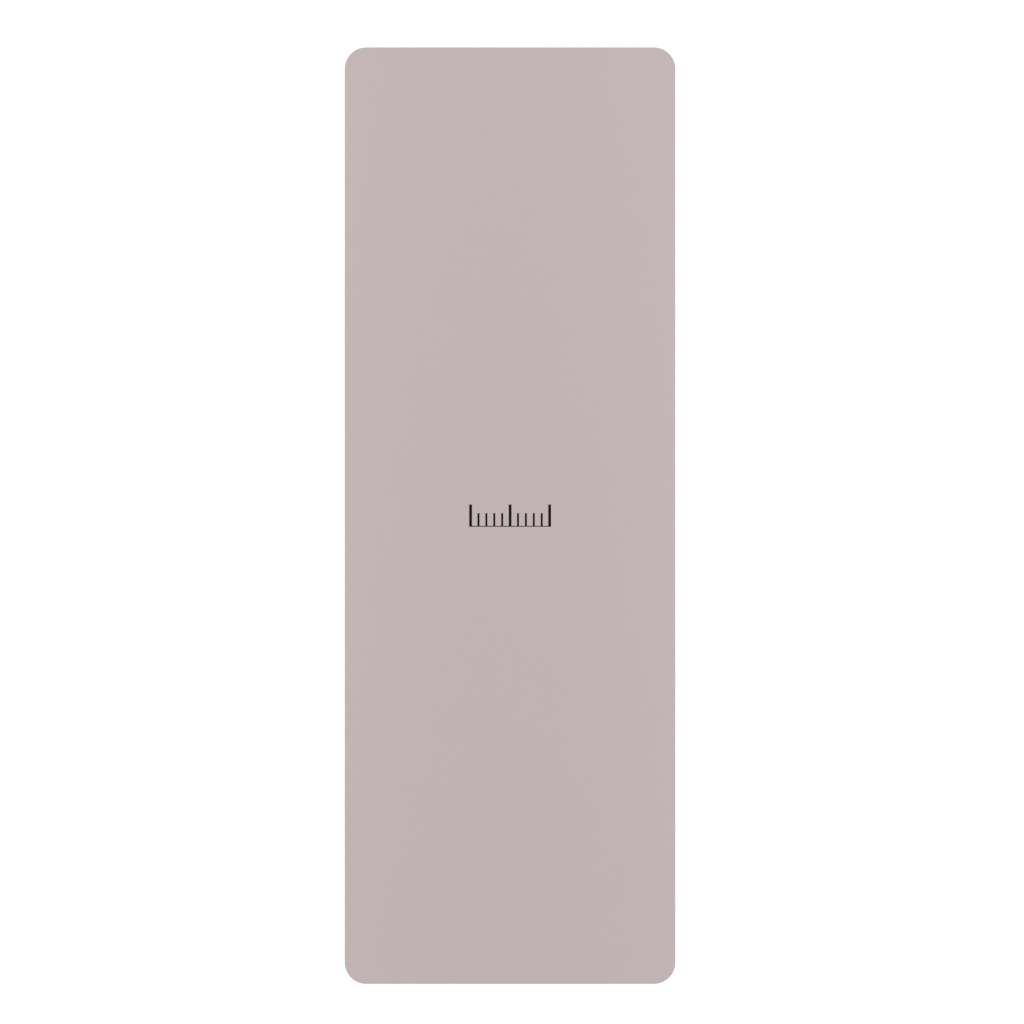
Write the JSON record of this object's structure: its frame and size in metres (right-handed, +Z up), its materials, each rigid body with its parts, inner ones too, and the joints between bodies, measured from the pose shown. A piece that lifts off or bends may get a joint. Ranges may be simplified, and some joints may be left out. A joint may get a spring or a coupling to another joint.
{
  "type": "yoga mat",
  "caption": "Flat rounded-corner yoga mat: polyurethane grip skin on felt on a natural rubber foam base with a zigzag tread below.",
  "frame": {"origin": "on the floor, under the middle of the mat", "axes": "+Z up out of the face that is practised on, +Y along the mat, +X across it"},
  "size_m": [0.6096, 1.7272, 0.005],
  "materials": {
    "foam_rubber": "matte",
    "nonwoven_felt": "matte",
    "polyurethane_skin": "matte"
  },
  "bodies": {
    "root": {"rubber_base": "foam_rubber", "backing_felt": "nonwoven_felt", "grip_skin": "polyurethane_skin"}
  },
  "joints": []
}
